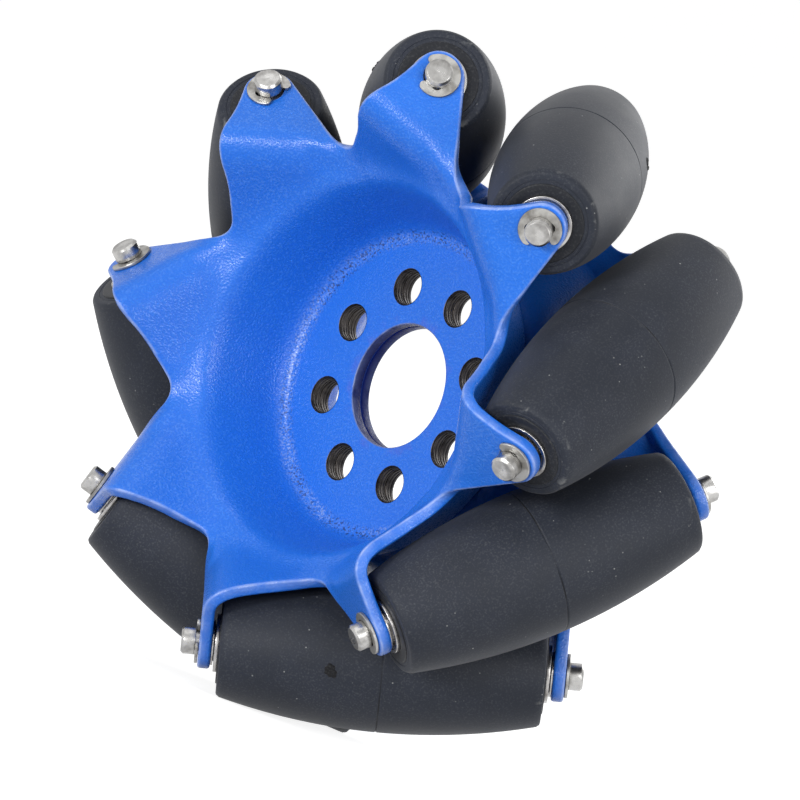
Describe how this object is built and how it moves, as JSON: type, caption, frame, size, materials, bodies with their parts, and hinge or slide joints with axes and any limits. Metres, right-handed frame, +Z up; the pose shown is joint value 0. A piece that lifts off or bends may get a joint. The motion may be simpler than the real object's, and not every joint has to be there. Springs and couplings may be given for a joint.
{
  "type": "mecanum wheel",
  "caption": "Omnidirectional wheel: barrel-shaped rubber rollers set slantwise turn freely on pins between two pressed steel plates with folded lugs, bolted to a hub at the centre.",
  "frame": {"origin": "the wheel's centre, on its axle and midway between the two plates", "axes": "+Y along the wheel's axle from front to rear, +Z up, the front face looks along -Y"},
  "size_m": [0.1518, 0.0752, 0.1518],
  "materials": {
    "plate_paint": "powder coat",
    "axle_steel": "turned",
    "clip_steel": "zinc plated",
    "washer_steel": "satin",
    "bearing_steel": "ground",
    "core_nylon": "moulded",
    "tread_rubber": "moulded satin"
  },
  "bodies": {
    "hub": {"front_plate": "plate_paint", "rear_plate": "plate_paint", "axle_1": "axle_steel", "axle_2": "axle_steel", "axle_3": "axle_steel", "axle_4": "axle_steel", "axle_5": "axle_steel", "axle_6": "axle_steel", "axle_7": "axle_steel", "axle_8": "axle_steel", "front_e_clips": "clip_steel", "front_thrust_washers": "washer_steel", "front_bearing_inner_rings": "bearing_steel", "rear_e_clips": "clip_steel", "rear_thrust_washers": "washer_steel", "rear_bearing_inner_rings": "bearing_steel"},
    "roller_1": {"roller_1_tread": "tread_rubber", "roller_1_core": "core_nylon", "roller_1_bearings": "bearing_steel"},
    "roller_2": {"roller_2_tread": "tread_rubber", "roller_2_core": "core_nylon", "roller_2_bearings": "bearing_steel"},
    "roller_3": {"roller_3_tread": "tread_rubber", "roller_3_core": "core_nylon", "roller_3_bearings": "bearing_steel"},
    "roller_4": {"roller_4_tread": "tread_rubber", "roller_4_core": "core_nylon", "roller_4_bearings": "bearing_steel"},
    "roller_5": {"roller_5_tread": "tread_rubber", "roller_5_core": "core_nylon", "roller_5_bearings": "bearing_steel"},
    "roller_6": {"roller_6_tread": "tread_rubber", "roller_6_core": "core_nylon", "roller_6_bearings": "bearing_steel"},
    "roller_7": {"roller_7_tread": "tread_rubber", "roller_7_core": "core_nylon", "roller_7_bearings": "bearing_steel"},
    "roller_8": {"roller_8_tread": "tread_rubber", "roller_8_core": "core_nylon", "roller_8_bearings": "bearing_steel"}
  },
  "joints": [
    {"name": "roller_1_spin", "type": "hinge", "parent": "hub", "child": "roller_1", "pos_m": [0.05543, 0, 0.02296], "axis": [0.2706, -0.7071, -0.6533], "continuous": true},
    {"name": "roller_2_spin", "type": "hinge", "parent": "hub", "child": "roller_2", "pos_m": [0.02296, 0, 0.05543], "axis": [0.6533, -0.7071, -0.2706], "continuous": true},
    {"name": "roller_3_spin", "type": "hinge", "parent": "hub", "child": "roller_3", "pos_m": [-0.02296, 0, 0.05543], "axis": [0.6533, -0.7071, 0.2706], "continuous": true},
    {"name": "roller_4_spin", "type": "hinge", "parent": "hub", "child": "roller_4", "pos_m": [-0.05543, 0, 0.02296], "axis": [0.2706, -0.7071, 0.6533], "continuous": true},
    {"name": "roller_5_spin", "type": "hinge", "parent": "hub", "child": "roller_5", "pos_m": [-0.05543, 0, -0.02296], "axis": [-0.2706, -0.7071, 0.6533], "continuous": true},
    {"name": "roller_6_spin", "type": "hinge", "parent": "hub", "child": "roller_6", "pos_m": [-0.02296, 0, -0.05543], "axis": [-0.6533, -0.7071, 0.2706], "continuous": true},
    {"name": "roller_7_spin", "type": "hinge", "parent": "hub", "child": "roller_7", "pos_m": [0.02296, 0, -0.05543], "axis": [-0.6533, -0.7071, -0.2706], "continuous": true},
    {"name": "roller_8_spin", "type": "hinge", "parent": "hub", "child": "roller_8", "pos_m": [0.05543, 0, -0.02296], "axis": [-0.2706, -0.7071, -0.6533], "continuous": true}
  ]
}
